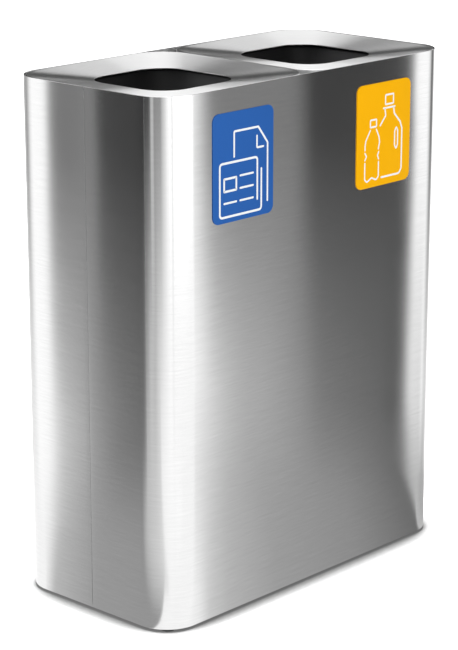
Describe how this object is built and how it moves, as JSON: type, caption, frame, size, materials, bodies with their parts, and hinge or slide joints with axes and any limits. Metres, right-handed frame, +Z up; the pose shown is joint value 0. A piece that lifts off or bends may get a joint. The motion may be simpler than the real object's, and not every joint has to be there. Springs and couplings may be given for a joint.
{
  "type": "double recycling bin",
  "caption": "Free-standing steel recycling bin with side-by-side compartments, dished lift-off lids with rounded-square holes, sign plates and lift-out liners.",
  "frame": {"origin": "on the floor, below the middle of the bin", "axes": "+X along the length to the viewer's right from the front, -Y out of the front with the sign plates, +Z up"},
  "size_m": [0.7, 0.3515, 0.875],
  "materials": {
    "brushed_shell": "hairlines along the wall",
    "brushed_lid": "fine brushed, following the hole",
    "inner_steel": "mill-finish sheet",
    "zinc_fastener": "zinc plated",
    "liner_plastic": "fine moulded grain",
    "foot_rubber": "matte",
    "blue_sign": "satin, white line drawing",
    "amber_sign": "satin, white line drawing"
  },
  "bodies": {
    "housing": {"body_shell": "brushed_shell", "seam_strip": "inner_steel", "base_pan": "inner_steel", "divider_panel": "inner_steel", "centre_rail": "inner_steel", "sign_paper": "blue_sign", "sign_bottles": "amber_sign", "rest_end_left": "inner_steel", "rest_front_left": "inner_steel", "rest_rear_left": "inner_steel", "rest_end_right": "inner_steel", "rest_front_right": "inner_steel", "rest_rear_right": "inner_steel", "foot_front_left": "foot_rubber", "foot_screw_front_left": "zinc_fastener", "foot_nut_front_left": "zinc_fastener", "foot_front_middle": "foot_rubber", "foot_screw_front_middle": "zinc_fastener", "foot_nut_front_middle": "zinc_fastener", "foot_front_right": "foot_rubber", "foot_screw_front_right": "zinc_fastener", "foot_nut_front_right": "zinc_fastener", "foot_rear_left": "foot_rubber", "foot_screw_rear_left": "zinc_fastener", "foot_nut_rear_left": "zinc_fastener", "foot_rear_middle": "foot_rubber", "foot_screw_rear_middle": "zinc_fastener", "foot_nut_rear_middle": "zinc_fastener", "foot_rear_right": "foot_rubber", "foot_screw_rear_right": "zinc_fastener", "foot_nut_rear_right": "zinc_fastener"},
    "left_liner": {"liner_left": "liner_plastic"},
    "left_lid": {"lid_left": "brushed_lid"},
    "right_liner": {"liner_right": "liner_plastic"},
    "right_lid": {"lid_right": "brushed_lid"}
  },
  "joints": [
    {"name": "liner_left_lift", "type": "slide", "parent": "housing", "child": "left_liner", "axis": [0, 0, 1], "range_m": [0, 0.87]},
    {"name": "lid_left_lift", "type": "slide", "parent": "left_liner", "child": "left_lid", "axis": [0, 0, 1], "range_m": [0, 0.25]},
    {"name": "liner_right_lift", "type": "slide", "parent": "housing", "child": "right_liner", "axis": [0, 0, 1], "range_m": [0, 0.87]},
    {"name": "lid_right_lift", "type": "slide", "parent": "right_liner", "child": "right_lid", "axis": [0, 0, 1], "range_m": [0, 0.25]}
  ]
}
